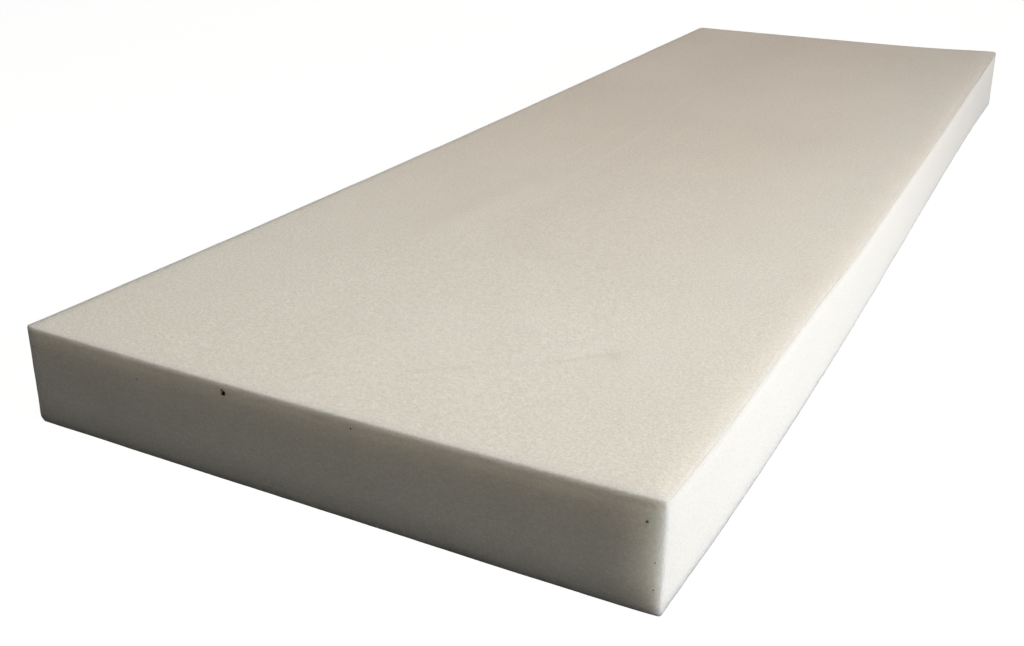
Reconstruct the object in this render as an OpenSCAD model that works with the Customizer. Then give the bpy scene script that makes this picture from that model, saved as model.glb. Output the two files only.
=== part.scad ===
// Foam sheet: one slab of soft polyurethane foam, cut to size with a knife.
// It lies flat on its underside, with its long sides along Y and its front end at -Y.
// The origin is on the ground, at the middle of the sheet's plan.
// All sizes are in millimetres.

/* [Sheet] */
// Length of the sheet, from one cut end to the other
sheet_length = 1830; // [1200:10:2400]
// Width of the sheet at its top, from corner to corner along a cut end
sheet_width = 610; // [300:5:1200]
// Thickness of the sheet at its long edges
sheet_thickness = 97; // [50:1:200]

/* [Cut sides] */
// How far the right side bulges out past a straight line between its corners
right_bulge = 8; // [0:0.5:25]
// Distance from the front end to the place where the right side bulges most
right_bulge_at = 460; // [300:10:900]
// How far the left side hollows in from a straight line between its corners
left_hollow = 8.5; // [0:0.5:25]
// Distance from the front end to the place where the left side is most hollow
left_hollow_at = 750; // [300:10:900]
// How far the foot of the left side stands out past its top, because the knife leaned
left_lean = 3; // [0:0.5:15]

/* [Top face] */
// How far the middle of the top lies below its long edges, at the front end
front_dish = 3; // [0:0.5:12]
// How far the middle of the top lies below its long edges, at the back end
back_dish = 0.5; // [0:0.5:12]

/* [Edges] */
// Radius of the softened edges round the top
top_edge_radius = 1.5; // [1:0.5:10]
// Radius of the softened edges round the underside
low_edge_radius = 2; // [1:0.5:10]
// Radius of the two upright corners at the front end, seen from above
front_corner_radius = 3; // [1:0.5:20]
// Radius of the two upright corners at the back end, seen from above
back_corner_radius = 9; // [1:0.5:20]

/* [Hidden] */

foam_colour = [0.86, 0.83, 0.77];

edge_steps = 5;     // facets round each softened edge
end_steps = 8;      // sections through each end's rounding
top_steps = 14;     // facets across the dished top
side_steps = 56;    // facets along the bowed sides

front_y = -sheet_length / 2;
// The bulge widens the plan on the right and the lean widens it on the left, so the middle of
// the cut ends stands off the origin by half of the difference.
middle_x = (left_lean - right_bulge) / 2;

// A smooth rise from 0 at both ends of a side to 1 at the share of its length given by peak.
function bow(share, peak) =
    let (
        rise = max(1, peak / (1 - peak)),
        fall = max(1, (1 - peak) / peak)
    )
    pow(share / peak, rise) * pow((1 - share) / (1 - peak), fall);

// Where the tops of the two long sides stand at a distance from the front end.
function right_x(along) =
    middle_x + sheet_width / 2
    + right_bulge * bow(along / sheet_length, right_bulge_at / sheet_length);
function left_x(along) =
    middle_x - sheet_width / 2
    + left_hollow * bow(along / sheet_length, left_hollow_at / sheet_length);

// Height of the top face at a distance from the front end, with across running from -1 at
// the left edge to 1 at the right edge.
function top_z(along, across) =
    let (dish = front_dish + (back_dish - front_dish) * along / sheet_length)
    sheet_thickness - dish * (1 - across * across);

// How far a quarter-round of this radius has still to come out, at a distance from where it starts.
function rounding(radius, distance) =
    distance >= radius ? 0 : radius - sqrt(radius * radius - pow(radius - distance, 2));

// One softened edge of a section, a quarter turn about its centre from an angle onwards.
function edge_arc(centre_x, centre_z, radius, from_angle) = [
    for (step = [0 : edge_steps])
        let (angle = from_angle + 90 * step / edge_steps)
            [centre_x + radius * cos(angle), centre_z + radius * sin(angle)]
];

// The outline of the slab across its width, as [x, z], at a distance from the front end.
function section(along) =
    let (
        from_end = min(along, sheet_length - along),
        corner_radius = along < sheet_length / 2 ? front_corner_radius : back_corner_radius,
        left = left_x(along) + rounding(corner_radius, from_end),
        left_foot = left - left_lean,
        right = right_x(along) - rounding(corner_radius, from_end),
        low_inset = rounding(low_edge_radius, from_end),
        top_inset = rounding(top_edge_radius, from_end),
        low_centre = low_inset + low_edge_radius,
        high_centre = sheet_thickness - top_inset - top_edge_radius,
        top_middle = (left + right) / 2,
        top_half = (right - left) / 2 - top_edge_radius,
        top_points = [
            for (step = [1 : top_steps - 1])
                let (across = 1 - 2 * step / top_steps)
                    [top_middle + across * top_half, top_z(along, across) - top_inset]
        ]
    )
    concat(
        edge_arc(left_foot + low_edge_radius, low_centre, low_edge_radius, 180),
        edge_arc(right - low_edge_radius, low_centre, low_edge_radius, 270),
        edge_arc(right - top_edge_radius, high_centre, top_edge_radius, 0),
        top_points,
        edge_arc(left + top_edge_radius, high_centre, top_edge_radius, 90)
    );

// Depth of the rounding at each end: its upright corners and its softened edges, whichever is deeper.
front_depth = max(front_corner_radius, top_edge_radius, low_edge_radius);
back_depth = max(back_corner_radius, top_edge_radius, low_edge_radius);

// Distances from an end at which a section is drawn through its rounding, close together at first.
function end_stations(depth) = [
    for (step = [0 : end_steps - 1]) depth * (1 - cos(90 * step / end_steps))
];

// Distances from the front end of all the sections: close together through the rounding at
// each end, and evenly spaced along the sides.
stations = concat(
    end_stations(front_depth),
    [
        for (step = [0 : side_steps])
            front_depth + (sheet_length - front_depth - back_depth) * step / side_steps
    ],
    [for (step = [end_steps - 1 : -1 : 0]) sheet_length - end_stations(back_depth)[step]]
);

// A closed skin over the sections, one after another, with a flat face at each end.
module loft() {
    ring = len(section(0));
    last = len(stations) - 1;
    skin_points = [
        for (along = stations) for (point = section(along)) [point[0], front_y + along, point[1]]
    ];
    skin_faces = [
        for (row = [0 : last - 1]) for (column = [0 : ring - 1])
            let (next = (column + 1) % ring)
                [row * ring + column, row * ring + next, (row + 1) * ring + next, (row + 1) * ring + column]
    ];
    front_face = [for (column = [ring - 1 : -1 : 0]) column];
    back_face = [for (column = [0 : ring - 1]) last * ring + column];
    polyhedron(points = skin_points, faces = concat([front_face], skin_faces, [back_face]));
}

module foam_slab() {
    color(foam_colour) loft();
}

foam_slab();
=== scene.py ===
import math
import random

import bmesh
import bpy
from mathutils import Matrix, Vector, noise
from mathutils.bvhtree import BVHTree


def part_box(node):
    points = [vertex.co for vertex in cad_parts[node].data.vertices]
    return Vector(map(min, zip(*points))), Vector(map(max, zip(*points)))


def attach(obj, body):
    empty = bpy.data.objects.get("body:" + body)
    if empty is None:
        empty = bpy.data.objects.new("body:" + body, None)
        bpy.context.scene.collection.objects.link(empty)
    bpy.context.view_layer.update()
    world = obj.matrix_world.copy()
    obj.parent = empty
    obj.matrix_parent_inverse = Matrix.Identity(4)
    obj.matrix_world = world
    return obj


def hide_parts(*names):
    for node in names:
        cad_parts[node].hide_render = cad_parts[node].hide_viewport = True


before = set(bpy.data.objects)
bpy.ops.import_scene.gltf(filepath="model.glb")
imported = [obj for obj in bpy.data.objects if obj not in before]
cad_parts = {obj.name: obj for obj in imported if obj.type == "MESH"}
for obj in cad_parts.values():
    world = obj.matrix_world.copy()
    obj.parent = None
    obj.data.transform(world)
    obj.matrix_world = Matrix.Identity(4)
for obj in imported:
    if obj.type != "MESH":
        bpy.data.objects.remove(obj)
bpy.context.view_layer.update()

MM = 0.001
NEAR = MM / 10                 # places this near to each other count as one
ON_CUT = MM / 100              # points nearer than this to a cut count as lying on it
ACROSS, ALONG, UP = 0, 1, 2    # the sheet's axes

# The sheet's own box, and the foam's softened edges.
LOW, HIGH = (Vector(corner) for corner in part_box("foam_slab"))
SIZE = HIGH - LOW
MIDDLE = (LOW + HIGH) / 2
FRONT_CORNER_RADIUS = 3 * MM
BACK_CORNER_RADIUS = 9 * MM
TOP_EDGE_RADIUS = 1.5 * MM
LOW_EDGE_RADIUS = 1 * MM
CORNER_ZONE = 15 * MM          # past this distance from an end, a long side is clear of its corners
FOOT_ZONE = 3 * MM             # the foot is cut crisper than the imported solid's, up to this height
SIDE_MARGIN = 10 * MM          # a long side is plain clear of its foot and its top by this much

# How finely the block is cut up.
GRID = 8 * MM
ARRIS_CUTS = 2                 # further cuts in each step along the top edges

# How far the foam strays from a true cut.
KNIFE_WAVE = 0.35 * MM         # slow wander of the knife over each cut face
KNIFE_WAVE_SIZE = 70 * MM      # how long its swells are
EDGE_FRAY = 0.45 * MM          # small ragged wander along the cut edges
FRAY_SIZES = (12 * MM, 5 * MM)   # how long its coarser and its finer swells are
FINE_FRAY = 0.7                # how strong the finer ones are against the coarser
WORN_DEPTH = 2.25 * MM         # how deep the foot of the front left corner is rubbed off
SEED = 7

# The right side's top edge wanders inwards at these places, or outwards where the last number is
# below 0: distance from the front end to the middle of the stretch, half its length, and how far.
EDGE_WANDERS = [
    (330 * MM, 260 * MM, 3.0 * MM),
    (1130 * MM, 430 * MM, -1.4 * MM),
    (1760 * MM, 200 * MM, 1.4 * MM),
]
# The top swells up towards the back right corner, where the foot stands out a little.
SWELL_REACH = Vector((220 * MM, 350 * MM))
SWELL_RISE = 4.5 * MM
FOOT_OUT = 2.5 * MM
# The top falls away a little along the right side: from how far in, and how much.
DROOP_REACH = 32 * MM
DROOP = 0.8 * MM
# The front face is set back towards its right end: from how far in, how far at the top edge, how
# far at the foot, and how much further half way up.
FRONT_TURNS = [
    (210 * MM, 0.9 * MM, 0.9 * MM, 0),
    (40 * MM, 0.8 * MM, 1.2 * MM, 3.2 * MM),
]
FRONT_FADE = 80 * MM           # how far back from the front face that is felt

# Soft dents in the top: distance from the left side and from the front end, radius and depth.
DENTS = [
    (482 * MM, 198 * MM, 16 * MM, 2.0 * MM),
    (468 * MM, 182 * MM, 14 * MM, 1.2 * MM),
    (448 * MM, 154 * MM, 13 * MM, 0.7 * MM),
    (284 * MM, 46 * MM, 11 * MM, 0.8 * MM),
]
# A low fold in the top: where it starts and ends, half its width, and its height.
FOLD_START = Vector((168 * MM, 300 * MM))
FOLD_END = Vector((222 * MM, 740 * MM))
FOLD_REACH = 36 * MM
FOLD_RISE = 1.1 * MM

# Painted light and shade and faint marks in the top: broad patches of painted light and painted shade
# first, then painted shade in the creases, then lighter knife lines: distances of the start and of the
# end from the left side and from the front end, half the width, and how much lighter.
PAINTED_LIGHT_AND_MARKS = [
    # broad patches of painted shade and painted light
    ((330 * MM, 480 * MM), (350 * MM, 980 * MM), 280 * MM, -0.055),
    ((50 * MM, 1340 * MM), (50 * MM, 1800 * MM), 180 * MM, 0.09),
    # painted shade in the creases
    ((352 * MM, 92 * MM), (454 * MM, 166 * MM), 6 * MM, -0.03),
    ((454 * MM, 166 * MM), (478 * MM, 194 * MM), 6 * MM, -0.05),
    ((472 * MM, 190 * MM), (484 * MM, 202 * MM), 7 * MM, -0.05),
    ((277 * MM, 36 * MM), (287 * MM, 54 * MM), 5 * MM, -0.045),
    # lighter knife lines
    ((234 * MM, 593 * MM), (231 * MM, 925 * MM), 3.5 * MM, 0.035),
    ((231 * MM, 925 * MM), (205 * MM, 1234 * MM), 4 * MM, 0.03),
    ((189 * MM, 748 * MM), (192 * MM, 965 * MM), 3.5 * MM, 0.035),
    ((192 * MM, 965 * MM), (215 * MM, 1021 * MM), 3.5 * MM, 0.03),
    ((239 * MM, 829 * MM), (233 * MM, 920 * MM), 3.5 * MM, 0.035),
]

# Burst cells in the front end: distance from the left side, height and radius.
FRONT_PORES = [
    (132 * MM, 74 * MM, 0.8 * MM),
    (226 * MM, 89 * MM, 1.0 * MM),
    (354 * MM, 86 * MM, 0.9 * MM),
    (436 * MM, 84 * MM, 0.4 * MM),
    (598 * MM, 76 * MM, 0.9 * MM),
    (583 * MM, 62 * MM, 0.5 * MM),
    (606 * MM, 43 * MM, 0.5 * MM),
    (606 * MM, 21 * MM, 0.6 * MM),
]
SIDE_PORES = 24                # burst cells scattered over the left side and the back end
SIDE_PORE_RADII = (0.4, 0.7)   # the least and the greatest, in millimetres
PORE_SIDES = 8                 # corners of a burst cell's mouth
PORE_STEPS = [(0.9, 0.3), (0.6, 1.5)]   # how a pore narrows, and how deep it goes, in radii
# how dark the painted shade inside the burst cells is
PORE_PAINTED_SHADE = 0.92
PORE_CENTRING = 0.7            # share of the way from the middle of its face to the wanted place

# Painted shade and painted light on the foam.
ARRIS_SHADE = (0.42, 0.4)       # painted shade on the right side's top edge: in front, and how much more behind
ARRIS_FALL = 0.6               # the power by which it fades on both sides of that edge
FRONT_DIP = 3 * MM             # how far the front end's top edge dips in the middle
SHADE_BAND_DEPTH = 4 * MM           # how far below that edge the painted shade on the front end is strongest
SHADE_BAND_REACH = 7 * MM           # how far up and down from there the painted shade goes
SHADE_BAND_STRENGTH = 0.18                   # how strong that painted shade is
FOOT_SHADE_REACH = 34 * MM     # how far up from the foot the front end has painted shade again, darker towards the foot
FOOT_SHADE = 0.22              # how strong that painted shade is
GLOW_REACH = 55 * MM          # how far in from its right edge the front end has painted light, for light glowing through the foam
GLOW_LIFT = 0.11              # how much lighter that painted light makes it

# The foam's grain and toning.
CELL_SIZE = 1.3 * MM
CLUMP_FINENESS = 0.42          # how fine the clumps of cells are against the cells
CLUMPING = 1.2                 # how much the clumps show against the cells
CLOUD_SIZE = 120 * MM
GRAIN = 0.24                   # how much the cells change the tone
CLOUDS = 0.06                  # how much the clouds do
BUMP_STRENGTH = 0.6
BUMP_DEPTH = 0.5 * MM
SCATTER_DEPTH = 21 * MM        # how far light wanders inside the foam
GRAIN_BY_CUT = (0.4, 0.7, 1.0)   # how coarse the long sides, the ends and the top are cut
YELLOWING = (-0.70, 0.10)        # where along the sheet, in metres, yellowing starts and is full
FRESHER_FROM = 0.1               # from where across the sheet, in metres, it gets weaker
FRESHER_SHARE = 0.4              # what is left of it at the right side

# The floor and the light.
FLOOR_REACH = 20               # from its middle to its edge, in metres
FLOOR_GAP = 0.2 * MM           # how far it lies below the sheet
FLOOR_GLOW = 0.955             # how white it is to the eye, besides the light that it sends back
ROOM_LIGHT = 0.058             # how much light comes from all round

# The camera: its turn, its fall and its roll in degrees, the place it looks at, how far it stands
# from there, and its lens and sensor in millimetres.
VIEW_ANGLES = (27.45, 23.86, 0.49)
VIEW_AIM = Vector((-0.0287, LOW.y + 0.4086, LOW.z))
VIEW_DISTANCE = 1.281
LENS = 40.33
SENSOR_WIDTH = 36

# Colours, as plain linear values.
WHITE = (1, 1, 1, 1)
CREAM = (0.86, 0.813, 0.735, 1.0)
YELLOWED = (0.86, 0.765, 0.655, 1.0)
PAINTED_SHADE = (0.14, 0.10, 0.07, 1.0)
FLOOR_GREY = (0.125, 0.13, 0.125, 1.0)
KEY_LIGHT = (1.0, 0.985, 0.99)
FILL_LIGHT = (0.84, 0.91, 1.0)
TOP_LIGHT = (1.0, 0.97, 0.86)
BACK_LIGHT = (1.0, 0.78, 0.64)


# ---------------------------------------------------------------- the foam sheet

def soften(block, radius, segments, chosen):
    """Rounds the edges that chosen picks."""
    bmesh.ops.bevel(
        block, geom=[edge for edge in block.edges if chosen(edge)], offset=radius,
        offset_type="OFFSET", affect="EDGES", segments=segments, profile=0.5,
        material=-1, clamp_overlap=True,
    )


def upright_at(y):
    """Picks the upright edges at one end."""
    def chosen(edge):
        a, b = (vert.co for vert in edge.verts)
        return abs(a.y - y) < MM and abs(b.y - y) < MM and abs(a.z - b.z) > SIZE.z / 2
    return chosen


def level_at(z):
    """Picks the edges that run round the block at one height."""
    def chosen(edge):
        return all(abs(vert.co.z - z) < NEAR for vert in edge.verts)
    return chosen


def cut_block():
    """A straight block the size of the sheet's box, with its corners and edges softened."""
    block = bmesh.new()
    bmesh.ops.create_cube(block, size=1.0)
    bmesh.ops.scale(block, vec=SIZE, verts=block.verts)
    bmesh.ops.translate(block, vec=MIDDLE, verts=block.verts)
    soften(block, FRONT_CORNER_RADIUS, segments=4, chosen=upright_at(LOW.y))
    soften(block, BACK_CORNER_RADIUS, segments=5, chosen=upright_at(HIGH.y))
    soften(block, TOP_EDGE_RADIUS, segments=4, chosen=level_at(HIGH.z))
    soften(block, LOW_EDGE_RADIUS, segments=3, chosen=level_at(LOW.z))
    return block


def cut_across(block, axis, margin):
    """Cuts the block right through at even steps along one axis."""
    steps = round((SIZE[axis] - 2 * margin) / GRID)
    normal = Vector((0, 0, 0))
    normal[axis] = 1
    for step in range(steps + 1):
        place = LOW.copy()
        place[axis] += margin + (SIZE[axis] - 2 * margin) * step / steps
        everything = block.verts[:] + block.edges[:] + block.faces[:]
        bmesh.ops.bisect_plane(
            block, geom=everything, dist=ON_CUT, plane_co=place, plane_no=normal
        )


def on_top_arris(vert):
    """Tells whether a point of the straight block lies on its softened top edges."""
    reach = TOP_EDGE_RADIUS + NEAR
    depth = min(
        vert.co.x - LOW.x, HIGH.x - vert.co.x, vert.co.y - LOW.y, HIGH.y - vert.co.y
    )
    return HIGH.z - vert.co.z < reach and depth < reach


def cut_top_arris(block):
    """Cuts the softened top edges more finely along their length, so that they can fray."""
    long_edges = [
        edge for edge in block.edges
        if edge.calc_length() > GRID / 2 and all(on_top_arris(vert) for vert in edge.verts)
    ]
    bmesh.ops.subdivide_edges(block, edges=long_edges, cuts=ARRIS_CUTS)


def side_finder(solid):
    """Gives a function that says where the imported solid's two long sides stand at a place."""
    levels = (LOW.z + SIDE_MARGIN, HIGH.z - SIDE_MARGIN)
    reach = Vector((1, 0, 0))
    found = {}

    def span(y, z):
        left = solid.ray_cast(Vector((LOW.x, y, z)) - reach, reach)[0].x
        right = solid.ray_cast(Vector((HIGH.x, y, z)) + reach, -reach)[0].x
        return Vector((left, right))

    def sides(y, z):
        y = min(max(y, LOW.y + CORNER_ZONE), HIGH.y - CORNER_ZONE)
        key = round(y / NEAR)
        if key not in found:
            found[key] = [span(y, level) for level in levels]
        foot, top = found[key]
        return foot.lerp(top, (z - levels[0]) / (levels[1] - levels[0]))

    return sides


def top_height(solid, left, right, place):
    """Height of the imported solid's dished top, clear of its softened edges."""
    x = min(max(place.x, left + TOP_EDGE_RADIUS), right - TOP_EDGE_RADIUS)
    y = min(max(place.y, LOW.y + CORNER_ZONE), HIGH.y - CORNER_ZONE)
    down = Vector((0, 0, -1))
    return solid.ray_cast(Vector((x, y, HIGH.z)) - down, down)[0].z


def lay_on_solid(block):
    """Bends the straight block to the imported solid's bowed, leaning sides and dished top."""
    solid = BVHTree.FromObject(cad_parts["foam_slab"], bpy.context.evaluated_depsgraph_get())
    sides = side_finder(solid)
    for vert in block.verts:
        left, right = sides(vert.co.y, vert.co.z)
        across = (vert.co.x - LOW.x) / SIZE.x
        vert.co.x = left + (right - left) * across
        rise = top_height(solid, *sides(vert.co.y, HIGH.z), vert.co) - LOW.z
        vert.co.z = LOW.z + (vert.co.z - LOW.z) * rise / SIZE.z
    for vert in block.verts:
        if vert.co.z > LOW.z + FOOT_ZONE:
            vert.co = solid.find_nearest(vert.co)[0]


def smooth_hump(distance, reach):
    """1 at no distance, falling smoothly to 0 at the given reach."""
    share = min(1.0, abs(distance) / reach)
    return (1 - share * share) ** 2


def curl(distance, reach):
    """1 at no distance, falling to 0 at the given reach, ever more gently."""
    return max(0.0, 1 - distance / reach) ** 2


def let_sides_wander(block, straight):
    """Gives the right side, the back right corner and the front face their small errors.

    The places of the points on the straight block tell how far each is from the sides.
    """
    for vert, place in zip(block.verts, straight):
        across = (place.x - LOW.x) / SIZE.x
        up = (place.z - LOW.z) / SIZE.z
        from_right = HIGH.x - place.x
        from_front = place.y - LOW.y
        from_back = HIGH.y - place.y
        inwards = sum(
            amount * smooth_hump(from_front - middle, half) for middle, half, amount in EDGE_WANDERS
        )
        swell = curl(from_right, SWELL_REACH.x) * curl(from_back, SWELL_REACH.y)
        set_back = sum(
            (foot + (top - foot) * up + belly * 4 * up * (1 - up)) * curl(from_right, reach)
            for reach, top, foot, belly in FRONT_TURNS
        )
        vert.co.x += FOOT_OUT * swell * (1 - up) - inwards * up * across ** 6
        vert.co.y += set_back * smooth_hump(from_front, FRONT_FADE)
        vert.co.z += (SWELL_RISE * swell - DROOP * curl(from_right, DROOP_REACH)) * up


def fray(place, size):
    """Smooth wandering, between about -1 and 1, with swells of the given size."""
    return noise.noise(place / size)


def note_arris_shade(block):
    """Notes how much painted shade darkens the right side's top edge at each point, for the material.
    """
    layer = block.verts.layers.float.new("arris")
    block.normal_update()
    in_front, more_behind = ARRIS_SHADE
    # painted shade: a dark line along the right side's top edge, stronger towards the back
    for vert in block.verts:
        along = (vert.co.y - LOW.y) / SIZE.y
        edge_like = max(0.0, 2 * vert.normal.x * vert.normal.z)
        vert[layer] = (in_front + more_behind * along) * edge_like ** ARRIS_FALL


def press_dents(block):
    """Presses the soft dents into the top."""
    upper = [vert for vert in block.verts if vert.co.z > MIDDLE.z]
    for across, along, radius, depth in DENTS:
        centre = Vector((LOW.x + across, LOW.y + along))
        for vert in upper:
            vert.co.z -= depth * smooth_hump((vert.co.xy - centre).length, radius)


def raise_fold(block):
    """Raises the low fold in the top."""
    line = FOLD_END - FOLD_START
    for vert in block.verts:
        if vert.co.z > MIDDLE.z:
            place = vert.co.xy - LOW.xy - FOLD_START
            share = place.dot(line) / line.length_squared
            aside = (place - line * share).length
            lengthways = smooth_hump(share - 0.5, 0.5)
            sideways = smooth_hump(aside, FOLD_REACH)
            vert.co.z += FOLD_RISE * lengthways * sideways


def roughen(block):
    """Moves the skin in and out by the small errors of a knife cut in soft foam."""
    block.normal_update()
    elsewhere = Vector((3, 1, 2))   # keeps the slow wave from following the fraying
    coarse, fine = FRAY_SIZES
    shifts = []
    for vert in block.verts:
        place, normal = vert.co, vert.normal
        swell = KNIFE_WAVE * fray(place + elsewhere, KNIFE_WAVE_SIZE)
        edge_like = 2 * (1 - max(abs(part) for part in normal))
        ragged = EDGE_FRAY * edge_like * (fray(place, coarse) + FINE_FRAY * fray(place, fine))
        shifts.append(normal * (swell + ragged))
    for vert, shift in zip(block.verts, shifts):
        vert.co += shift
        vert.co.z = max(vert.co.z, LOW.z)


def rub_off_corner(block):
    """Takes the foot of the front left corner off, as rubbing has done."""
    outwards = Vector((-1, -1, -1)).normalized()
    corner = max(outwards.dot(vert.co) for vert in block.verts)
    everything = block.verts[:] + block.edges[:] + block.faces[:]
    bmesh.ops.bisect_plane(
        block, geom=everything, dist=ON_CUT, plane_co=outwards * (corner - WORN_DEPTH),
        plane_no=outwards, clear_outer=True,
    )
    bmesh.ops.holes_fill(block, edges=[edge for edge in block.edges if edge.is_boundary])


def sink_rim(block, rim, place, narrower, depth):
    """Draws the rim of a pit further in, and gives its new edges and points."""
    drawn = bmesh.ops.extrude_edge_only(block, edges=rim)["geom"]
    points = [item for item in drawn if isinstance(item, bmesh.types.BMVert)]
    for vert in points:
        vert.co = place + (vert.co - place) * narrower + depth
    edges = [item for item in drawn if isinstance(item, bmesh.types.BMEdge) and item.is_boundary]
    return edges, points


def open_pore(block, dark, face, wanted, radius):
    """Opens a burst cell in a face, near the wanted place: a small steep pit, with painted shade
    inside.
    """
    inwards = -face.normal
    centre = face.calc_center_median()
    aside = wanted - centre
    place = centre + PORE_CENTRING * (aside - face.normal * aside.dot(face.normal))
    turn = face.normal.to_track_quat("Z", "Y").to_matrix().to_4x4()
    hole = list(face.edges)
    bmesh.ops.delete(block, geom=[face], context="FACES_ONLY")
    mouth = bmesh.ops.create_circle(
        block, cap_ends=False, radius=radius, segments=PORE_SIDES,
        matrix=Matrix.Translation(place) @ turn,
    )["verts"]
    rim = list({edge for vert in mouth for edge in vert.link_edges})
    bmesh.ops.bridge_loops(block, edges=hole + rim)
    for edge in rim:
        edge.smooth = False
    for narrower, depth in PORE_STEPS:
        rim, points = sink_rim(block, rim, place, narrower, inwards * depth * radius)
        for vert in points:
            # painted shade inside the pit
            vert[dark] = PORE_PAINTED_SHADE
    bmesh.ops.holes_fill(block, edges=rim)


def is_whole(face):
    """Tells whether a face has four corners and is large enough for a burst cell."""
    return len(face.verts) == 4 and face.calc_area() > (GRID * GRID) / 2


def on_front(face):
    """Tells whether a face belongs to the front end."""
    return face.normal.y < -0.97


def on_left_or_back(face):
    """Tells whether a face belongs to the left side or the back end."""
    return face.normal.y > -0.5 and face.normal.x < 0.5 and abs(face.normal.z) < 0.1


def open_pores(block):
    """Opens the burst cells of the front end, and scatters others over the left side and the back."""
    dark = block.verts.layers.float.new("pore")
    block.normal_update()
    whole = [face for face in block.faces if is_whole(face)]
    front = [face for face in whole if on_front(face)]
    others = [face for face in whole if on_left_or_back(face)]
    for across, height, radius in FRONT_PORES:
        wanted = Vector((LOW.x + across, LOW.y, LOW.z + height))
        face = min(front, key=lambda face: (face.calc_center_median().xz - wanted.xz).length)
        front.remove(face)
        open_pore(block, dark, face, wanted, radius)
    for face in random.sample(others, SIDE_PORES):
        radius = random.uniform(*SIDE_PORE_RADII) * MM
        open_pore(block, dark, face, face.calc_center_median(), radius)


def foam_sheet():
    """The whole sheet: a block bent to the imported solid, with the small errors of a real one."""
    block = cut_block()
    cut_across(block, ALONG, BACK_CORNER_RADIUS)
    cut_across(block, ACROSS, BACK_CORNER_RADIUS)
    cut_across(block, UP, GRID)
    cut_top_arris(block)
    straight = [vert.co.copy() for vert in block.verts]
    lay_on_solid(block)
    note_arris_shade(block)
    let_sides_wander(block, straight)
    press_dents(block)
    raise_fold(block)
    roughen(block)
    rub_off_corner(block)
    open_pores(block)
    bmesh.ops.recalc_face_normals(block, faces=block.faces)
    mesh = bpy.data.meshes.new("foam_sheet")
    block.to_mesh(mesh)
    block.free()
    mesh.shade_smooth()
    piece = bpy.data.objects.new("foam_sheet", mesh)
    bpy.context.scene.collection.objects.link(piece)
    piece.data.materials.append(foam_material())
    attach(piece, "root")
    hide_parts("foam_slab")


# ---------------------------------------------------------------- node building

def node(tree, kind, inputs=None, **settings):
    """Adds a node, with its settings, and its inputs filled by values or by other nodes' outputs."""
    added = tree.nodes.new(kind)
    for name, value in settings.items():
        setattr(added, name, value)
    for name, value in (inputs or {}).items():
        if isinstance(value, bpy.types.NodeSocket):
            tree.links.new(value, added.inputs[name])
        else:
            added.inputs[name].default_value = value
    return added


def reckon(tree, operation, first, second):
    """One step of arithmetic on two values."""
    return node(tree, "ShaderNodeMath", {0: first, 1: second}, operation=operation).outputs[0]


def new_material(name):
    """An empty material and its node tree."""
    material = bpy.data.materials.new(name)
    material.use_nodes = True
    material.node_tree.nodes.clear()
    return material, material.node_tree


def new_group(name, vectors, values, output):
    """A shader node group with the named inputs, vectors and plain values, and one plain output."""
    group = bpy.data.node_groups.new(name, "ShaderNodeTree")
    for label in vectors:
        group.interface.new_socket(label, in_out="INPUT", socket_type="NodeSocketVector")
    for label in values:
        group.interface.new_socket(label, in_out="INPUT", socket_type="NodeSocketFloat")
    group.interface.new_socket(output, in_out="OUTPUT", socket_type="NodeSocketFloat")
    given = group.nodes.new("NodeGroupInput").outputs
    result = group.nodes.new("NodeGroupOutput").inputs[output]
    return group, given, result


def effect(tree, group, inputs):
    """Puts a node group to use in a tree and gives its output."""
    return node(tree, "ShaderNodeGroup", inputs, node_tree=group).outputs[0]


def fading(tree, distance, reach):
    """1 at no distance, fading smoothly to 0 at the given reach."""
    return node(
        tree, "ShaderNodeMapRange",
        {"Value": distance, "From Min": reach, "From Max": 0.0}, interpolation_type="SMOOTHSTEP",
    ).outputs["Result"]


def parts(tree, vector):
    """The X, Y and Z of a vector."""
    return node(tree, "ShaderNodeSeparateXYZ", {"Vector": vector}).outputs


def towards_front(tree, facing):
    """1 on faces that look out of the front end, less on others, and 0 on those that look away."""
    return node(
        tree, "ShaderNodeMath", {0: parts(tree, facing)["Y"], 1: -1.0},
        operation="MULTIPLY", use_clamp=True,
    ).outputs[0]


# ---------------------------------------------------------------- materials

def open_cells_group():
    """Light struts and dark hollows of open-cell foam, about 0 on average."""
    group, given, result = new_group("open_cells", ["Vector"], ["Cell Size"], "Relief")
    scale = reckon(group, "DIVIDE", 1.0, given["Cell Size"])
    cells = node(
        group, "ShaderNodeTexVoronoi", {"Vector": given["Vector"], "Scale": scale}, feature="F1"
    ).outputs["Distance"]
    clump_scale = reckon(group, "MULTIPLY", scale, CLUMP_FINENESS)
    clumps = node(
        group, "ShaderNodeTexNoise",
        {"Vector": given["Vector"], "Scale": clump_scale, "Detail": 1.5},
    ).outputs["Fac"]
    struts = reckon(group, "SUBTRACT", cells, 0.5)
    lumps = reckon(group, "MULTIPLY", reckon(group, "SUBTRACT", clumps, 0.5), CLUMPING)
    group.links.new(reckon(group, "ADD", struts, lumps), result)
    return group


def yellowing_group():
    """0 where the foam is fresh, 1 where light has yellowed it, between two places along the sheet.

    Past another place, across the sheet, it weakens, to the given share of it at the edge.
    """
    group, given, result = new_group(
        "yellowing", ["Vector"], ["Start", "End", "Fresher From", "Edge", "Share"], "Mask"
    )
    place = parts(group, given["Vector"])
    along = node(
        group, "ShaderNodeMapRange",
        {"Value": place["Y"], "From Min": given["Start"], "From Max": given["End"]},
    ).outputs["Result"]
    across = node(
        group, "ShaderNodeMapRange",
        {"Value": place["X"], "From Min": given["Fresher From"], "From Max": given["Edge"],
         "To Min": 1.0, "To Max": given["Share"]},
    ).outputs["Result"]
    group.links.new(reckon(group, "MULTIPLY", along, across), result)
    return group


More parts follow.
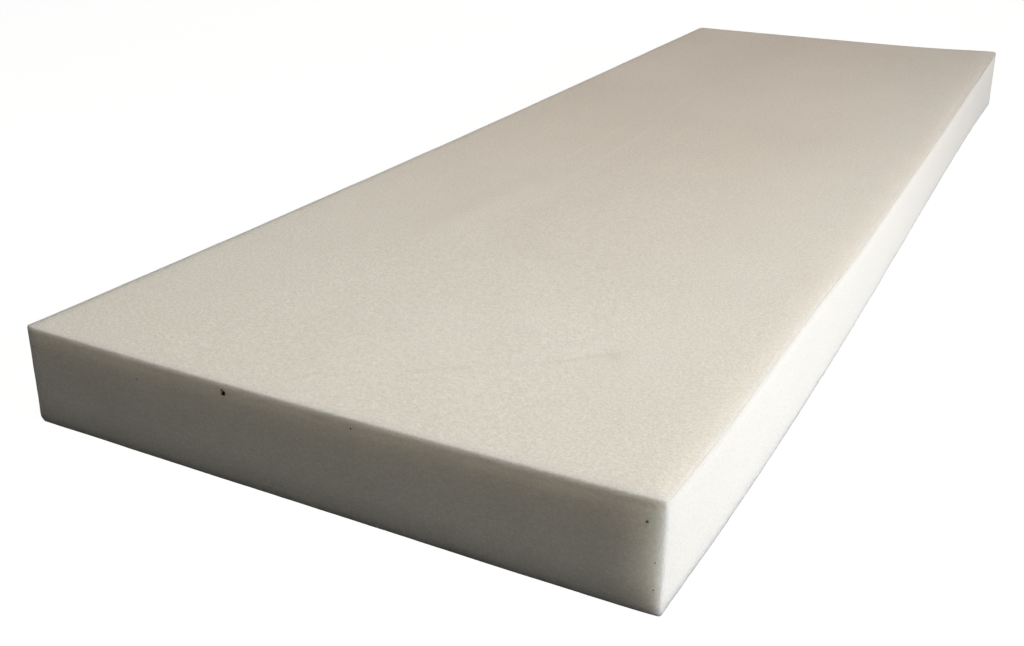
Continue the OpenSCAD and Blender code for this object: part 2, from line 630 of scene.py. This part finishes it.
def clouds_group():
    """Slow uneven toning of the foam, about 0 on average."""
    group, given, result = new_group("clouds", ["Vector"], ["Size"], "Tone")
    scale = reckon(group, "DIVIDE", 1.0, given["Size"])
    swells = node(
        group, "ShaderNodeTexNoise", {"Vector": given["Vector"], "Scale": scale, "Detail": 3.0}
    ).outputs["Fac"]
    group.links.new(reckon(group, "SUBTRACT", swells, 0.5), result)
    return group


def mark_group():
    """A straight mark seen from above: 1 along its middle, fading to 0 at half its width."""
    group, given, result = new_group("mark", ["Vector", "Start", "End"], ["Half Width"], "Mask")

    def vectors(operation, first, second):
        return node(
            group, "ShaderNodeVectorMath", {0: first, 1: second}, operation=operation
        ).outputs

    flat = vectors("MULTIPLY", given["Vector"], (1, 1, 0))["Vector"]
    place = vectors("SUBTRACT", flat, given["Start"])["Vector"]
    line = vectors("SUBTRACT", given["End"], given["Start"])["Vector"]
    reached = vectors("DOT_PRODUCT", place, line)["Value"]
    squared = vectors("DOT_PRODUCT", line, line)["Value"]
    share = node(
        group, "ShaderNodeMath", {0: reached, 1: squared}, operation="DIVIDE", use_clamp=True
    ).outputs[0]
    nearest = node(
        group, "ShaderNodeVectorMath", {0: line, "Scale": share}, operation="SCALE"
    ).outputs["Vector"]
    aside = vectors("DISTANCE", place, nearest)["Value"]
    group.links.new(fading(group, aside, given["Half Width"]), result)
    return group


def shade_band_group():
    """Painted shade on the front end, in a band at a given depth below its top edge and following that
    edge's dip.

    It is full at that depth and fades out over the half width.
    """
    group, given, result = new_group(
        "shade_band", ["Vector", "Facing"],
        ["Edge Height", "Dip", "Half Span", "Depth", "Half Width"], "Mask",
    )
    place = parts(group, given["Vector"])
    across = reckon(group, "DIVIDE", place["X"], given["Half Span"])
    middle = reckon(group, "SUBTRACT", 1.0, reckon(group, "MULTIPLY", across, across))
    edge = reckon(
        group, "SUBTRACT", given["Edge Height"], reckon(group, "MULTIPLY", given["Dip"], middle)
    )
    below = reckon(group, "SUBTRACT", edge, place["Z"])
    away = node(
        group, "ShaderNodeMath", {0: reckon(group, "SUBTRACT", below, given["Depth"])},
        operation="ABSOLUTE",
    ).outputs[0]
    band = fading(group, away, given["Half Width"])
    front = towards_front(group, given["Facing"])
    group.links.new(reckon(group, "MULTIPLY", band, front), result)
    return group


def end_glow_group():
    """1 on the front end's right edge, where painted light stands for light glowing through the foam,
    fading to 0 over the reach.
    """
    group, given, result = new_group(
        "end_glow", ["Vector", "Facing"], ["Edge", "Reach"], "Mask"
    )
    away = reckon(group, "SUBTRACT", given["Edge"], parts(group, given["Vector"])["X"])
    share = fading(group, away, given["Reach"])
    front = towards_front(group, given["Facing"])
    group.links.new(reckon(group, "MULTIPLY", share, front), result)
    return group


def coarseness(tree, facing):
    """How rough each cut left the foam: 1 on the top, less on the ends and least on the long sides."""
    squared = node(
        tree, "ShaderNodeVectorMath", {0: facing, 1: facing}, operation="MULTIPLY"
    ).outputs["Vector"]
    return node(
        tree, "ShaderNodeVectorMath", {0: squared, 1: GRAIN_BY_CUT}, operation="DOT_PRODUCT"
    ).outputs["Value"]


def add_share(tree, tone, mask, amount):
    """Adds a share of a mask to the tone."""
    return reckon(tree, "ADD", tone, reckon(tree, "MULTIPLY", mask, amount))


def foam_tone(tree, place, facing, cells):
    """How light the foam is at each point, 1 on average, with painted light and shade in broad
    patches, painted shade in creases and inside the burst cells, and painted light at the front end's
    right edge.
    """
    coarse = reckon(tree, "MULTIPLY", coarseness(tree, facing), GRAIN)
    tone = reckon(tree, "ADD", 1.0, reckon(tree, "MULTIPLY", cells, coarse))
    clouds = effect(tree, clouds_group(), {"Vector": place, "Size": CLOUD_SIZE})
    tone = add_share(tree, tone, clouds, CLOUDS)
    mark = mark_group()
    # broad patches of painted light and painted shade, painted shade in the creases, and lighter knife
    # lines
    for start, end, half_width, lighter in PAINTED_LIGHT_AND_MARKS:
        mask = effect(tree, mark, {
            "Vector": place, "Half Width": half_width,
            "Start": (LOW.x + start[0], LOW.y + start[1], 0),
            "End": (LOW.x + end[0], LOW.y + end[1], 0),
        })
        tone = add_share(tree, tone, mask, lighter)
    # painted light: the front end lighter near its right edge, for light glowing through the foam
    glow_mask = effect(tree, end_glow_group(), {
        "Vector": place, "Facing": facing, "Edge": HIGH.x, "Reach": GLOW_REACH,
    })
    tone = add_share(tree, tone, glow_mask, GLOW_LIFT)
    # painted shade inside the burst cells
    pore = node(tree, "ShaderNodeAttribute", attribute_name="pore").outputs["Fac"]
    return reckon(tree, "MULTIPLY", tone, reckon(tree, "SUBTRACT", 1.0, pore))


def foam_painted_shade(tree, place, facing):
    """How much painted shade darkens the foam: on the right side's top edge and on the front end, high
    and low.
    """
    shade_mask = node(tree, "ShaderNodeAttribute", attribute_name="arris").outputs["Fac"]
    shade_band = shade_band_group()
    bands = [
        # painted shade in a band under the front end's top edge
        (FRONT_DIP, SHADE_BAND_DEPTH, SHADE_BAND_REACH, SHADE_BAND_STRENGTH),
        # painted shade on the front end, darker towards its foot
        (0.0, SIZE.z, FOOT_SHADE_REACH, FOOT_SHADE),
    ]
    for dip, depth, reach, strength in bands:
        mask = effect(tree, shade_band, {
            "Vector": place, "Facing": facing, "Edge Height": HIGH.z, "Dip": dip,
            "Half Span": SIZE.x / 2, "Depth": depth, "Half Width": reach,
        })
        shade_mask = reckon(tree, "MAXIMUM", shade_mask, reckon(tree, "MULTIPLY", mask, strength))
    return shade_mask


def mixed(tree, share, first, second):
    """The first colour where the share is 0, and the second where it is 1."""
    return node(
        tree, "ShaderNodeMixRGB", {"Fac": share, "Color1": first, "Color2": second}
    ).outputs["Color"]


def foam_material():
    """Matt cream foam with open cells, light wandering inside it, yellowed, with painted shade on its
    edges, front end, creases and burst cells and painted light in patches.
    """
    material, tree = new_material("open_cell_foam")
    coordinates = node(tree, "ShaderNodeTexCoord").outputs
    place, facing = coordinates["Object"], coordinates["Normal"]
    cells = effect(tree, open_cells_group(), {"Vector": place, "Cell Size": CELL_SIZE})
    yellowing = effect(tree, yellowing_group(), {
        "Vector": place, "Start": YELLOWING[0], "End": YELLOWING[1],
        "Fresher From": FRESHER_FROM, "Edge": HIGH.x, "Share": FRESHER_SHARE,
    })
    base = mixed(tree, yellowing, CREAM, YELLOWED)
    # painted shade darkens the colour on the right side's top edge and on the front end
    base = mixed(tree, foam_painted_shade(tree, place, facing), base, PAINTED_SHADE)
    tone = foam_tone(tree, place, facing, cells)
    colour = node(
        tree, "ShaderNodeVectorMath", {0: base, "Scale": tone}, operation="SCALE"
    ).outputs[0]
    bump = node(
        tree, "ShaderNodeBump",
        {"Strength": BUMP_STRENGTH, "Distance": BUMP_DEPTH, "Height": cells},
    ).outputs["Normal"]
    shader = node(tree, "ShaderNodeBsdfPrincipled", {
        "Base Color": colour,
        "Roughness": 0.95,
        "Specular IOR Level": 0.15,
        "Subsurface Weight": 1.0,
        "Subsurface Radius": (1.0, 1.0, 1.0),
        "Subsurface Scale": SCATTER_DEPTH,
        "Normal": bump,
    })
    node(tree, "ShaderNodeOutputMaterial", {"Surface": shader.outputs["BSDF"]})
    return material


def seen_directly(tree):
    """1 for rays from the camera, also by way of metal or glass, and 0 for the light's own rays."""
    path = node(tree, "ShaderNodeLightPath").outputs
    mirrored = reckon(tree, "MAXIMUM", path["Is Glossy Ray"], path["Is Transmission Ray"])
    return reckon(tree, "MAXIMUM", path["Is Camera Ray"], mirrored)


def floor_material():
    """Pale matt floor: white to the eye, but a dim bounce, with the object's shadow kept."""
    material, tree = new_material("pale_floor")
    matt = node(tree, "ShaderNodeBsdfDiffuse", {"Color": FLOOR_GREY}).outputs[0]
    strength = reckon(tree, "MULTIPLY", seen_directly(tree), FLOOR_GLOW)
    glow = node(tree, "ShaderNodeEmission", {"Strength": strength}).outputs[0]
    both = node(tree, "ShaderNodeAddShader", {0: matt, 1: glow}).outputs[0]
    node(tree, "ShaderNodeOutputMaterial", {"Surface": both})
    return material


# ---------------------------------------------------------------- floor, light and view

def floor():
    """A wide flat floor just under the sheet."""
    mesh = bpy.data.meshes.new("floor")
    sheet = bmesh.new()
    bmesh.ops.create_grid(sheet, x_segments=1, y_segments=1, size=FLOOR_REACH)
    bmesh.ops.translate(sheet, vec=(0, 0, LOW.z - FLOOR_GAP), verts=sheet.verts)
    sheet.to_mesh(mesh)
    sheet.free()
    ground = bpy.data.objects.new("floor", mesh)
    bpy.context.scene.collection.objects.link(ground)
    ground.data.materials.append(floor_material())


def lamp(name, place, aim, size, power, colour):
    """A flat soft square lamp at one place, turned towards another."""
    data = bpy.data.lights.new(name, "AREA")
    data.shape = "RECTANGLE"
    data.size, data.size_y = size, size
    data.energy = power
    data.color = colour
    light = bpy.data.objects.new(name, data)
    light.location = place
    light.rotation_euler = (Vector(aim) - Vector(place)).to_track_quat("-Z", "Y").to_euler()
    bpy.context.scene.collection.objects.link(light)


def room():
    """A dim room all round that is white where it is seen directly."""
    world = bpy.data.worlds.new("room")
    bpy.context.scene.world = world
    world.use_nodes = True
    tree = world.node_tree
    tree.nodes.clear()
    white = node(tree, "ShaderNodeBackground", {"Color": WHITE, "Strength": 1.0}).outputs[0]
    dim = node(tree, "ShaderNodeBackground", {"Color": WHITE, "Strength": ROOM_LIGHT}).outputs[0]
    mix = node(tree, "ShaderNodeMixShader", {0: seen_directly(tree), 1: dim, 2: white}).outputs[0]
    node(tree, "ShaderNodeOutputWorld", {"Surface": mix})


def studio():
    """A big soft lamp on the right, with weaker ones beside, above and behind the sheet."""
    lamp("key", (3.4, -0.7, 1.5), aim=(0, -0.3, 0), size=1.6, power=71.5, colour=KEY_LIGHT)
    lamp("fill", (2.6, -0.6, 0.7), aim=(0, -0.5, 0), size=1.2, power=32.5, colour=FILL_LIGHT)
    lamp("top", (0.3, -1.0, 1.8), aim=(0, -0.5, 0), size=1.2, power=13.2, colour=TOP_LIGHT)
    lamp("back", (-1.4, 2.8, 2.0), aim=(0, 0, 0), size=1.2, power=18.5, colour=BACK_LIGHT)
    room()


def camera():
    """Looks down the sheet from beyond its front right corner."""
    turned, fall, roll = (math.radians(angle) for angle in VIEW_ANGLES)
    towards = Vector((
        -math.sin(turned) * math.cos(fall),
        math.cos(turned) * math.cos(fall),
        -math.sin(fall),
    ))
    data = bpy.data.cameras.new("camera")
    data.lens = LENS
    data.sensor_width = SENSOR_WIDTH
    data.clip_start = 0.02
    data.clip_end = 60
    view = bpy.data.objects.new("camera", data)
    view.location = VIEW_AIM - VIEW_DISTANCE * towards
    turn = towards.to_track_quat("-Z", "Y") @ Matrix.Rotation(roll, 3, "Z").to_quaternion()
    view.rotation_euler = turn.to_euler()
    bpy.context.scene.collection.objects.link(view)
    bpy.context.scene.camera = view


def main():
    """Builds the view, the floor, the lamps and the sheet."""
    random.seed(SEED)
    bpy.context.scene.view_settings.view_transform = "Standard"
    camera()
    floor()
    studio()
    foam_sheet()


main()
